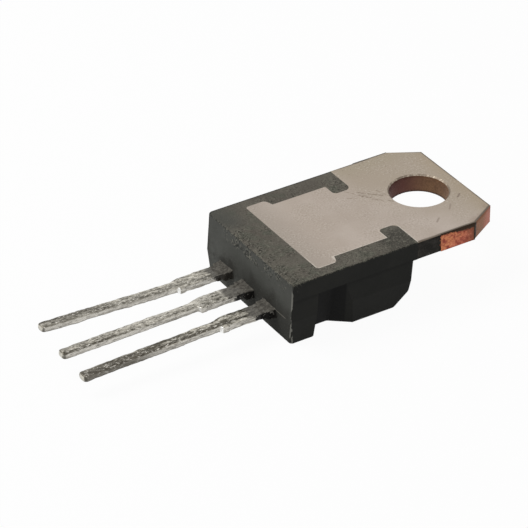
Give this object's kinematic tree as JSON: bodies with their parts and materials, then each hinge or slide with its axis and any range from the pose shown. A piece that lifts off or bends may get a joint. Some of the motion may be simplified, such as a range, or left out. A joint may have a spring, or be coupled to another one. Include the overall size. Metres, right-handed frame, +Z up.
{
  "type": "power transistor",
  "caption": "Flat moulded power transistor with a drilled copper heat-sink tab flush with its back and flat leads from one end, lying on its marked face.",
  "frame": {"origin": "middle of the outline, on the plane that the marked face rests on", "axes": "+X from the lead tips to the tab's end, +Z up out of the tab's bare back, +Y towards the emitter lead"},
  "size_m": [0.029, 0.0102, 0.0045],
  "materials": {
    "moulding_compound": "matte",
    "plated_tab": "satin",
    "tinned_lead": "satin",
    "silicon": "gloss",
    "solder": "satin",
    "bond_wire": "satin"
  },
  "bodies": {
    "root": {"moulded_body": "moulding_compound", "heatsink_tab": "plated_tab", "base_lead": "tinned_lead", "emitter_lead": "tinned_lead", "silicon_die": "silicon", "die_solder": "solder", "base_bond_wire": "bond_wire", "emitter_bond_wire": "bond_wire"}
  },
  "joints": []
}
